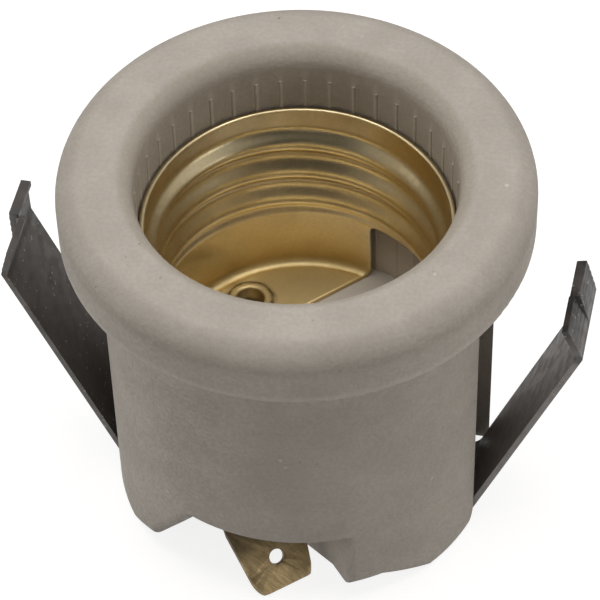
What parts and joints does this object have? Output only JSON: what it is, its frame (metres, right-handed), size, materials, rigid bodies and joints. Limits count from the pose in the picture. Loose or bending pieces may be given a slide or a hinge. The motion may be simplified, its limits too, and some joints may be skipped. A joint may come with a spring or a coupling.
{
  "type": "lamp holder",
  "caption": "Snap-in porcelain lamp holder with a medium screw shell, folded solder tabs and two side spring clips that hold it in a panel hole.",
  "frame": {"origin": "centre of the flange's underside, which bears on the panel", "axes": "+Z out of the mouth, +X to the right spring clip, -Y to the viewer's side"},
  "size_m": [0.0523, 0.0412, 0.0401],
  "materials": {
    "porcelain": "matte",
    "shell_brass": "satin",
    "terminal_brass": "satin",
    "spring_steel": "satin"
  },
  "bodies": {
    "holder": {"porcelain_body": "porcelain", "screw_shell": "shell_brass", "shell_eyelet": "shell_brass", "contact_eyelet": "shell_brass", "contact_leaf": "shell_brass", "contact_terminal": "terminal_brass", "shell_terminal": "terminal_brass"},
    "contact_button": {"contact_button": "shell_brass"},
    "right_clip": {"right_clip": "spring_steel"},
    "left_clip": {"left_clip": "spring_steel"}
  },
  "joints": [
    {"name": "right_clip_fold", "type": "hinge", "parent": "holder", "child": "right_clip", "pos_m": [0.01469, 0, -0.03157], "axis": [0, 1, 0], "range_deg": [-17, 0], "stiffness_Nm_per_rad": 0.05},
    {"name": "left_clip_fold", "type": "hinge", "parent": "holder", "child": "left_clip", "pos_m": [-0.01469, 0, -0.03157], "axis": [0, 1, 0], "range_deg": [0, 17], "stiffness_Nm_per_rad": 0.05},
    {"name": "contact_press", "type": "slide", "parent": "holder", "child": "contact_button", "axis": [0, 0, -1], "range_m": [0, 0.0012], "stiffness_N_per_m": 500, "deforming": ["contact_leaf"]}
  ]
}
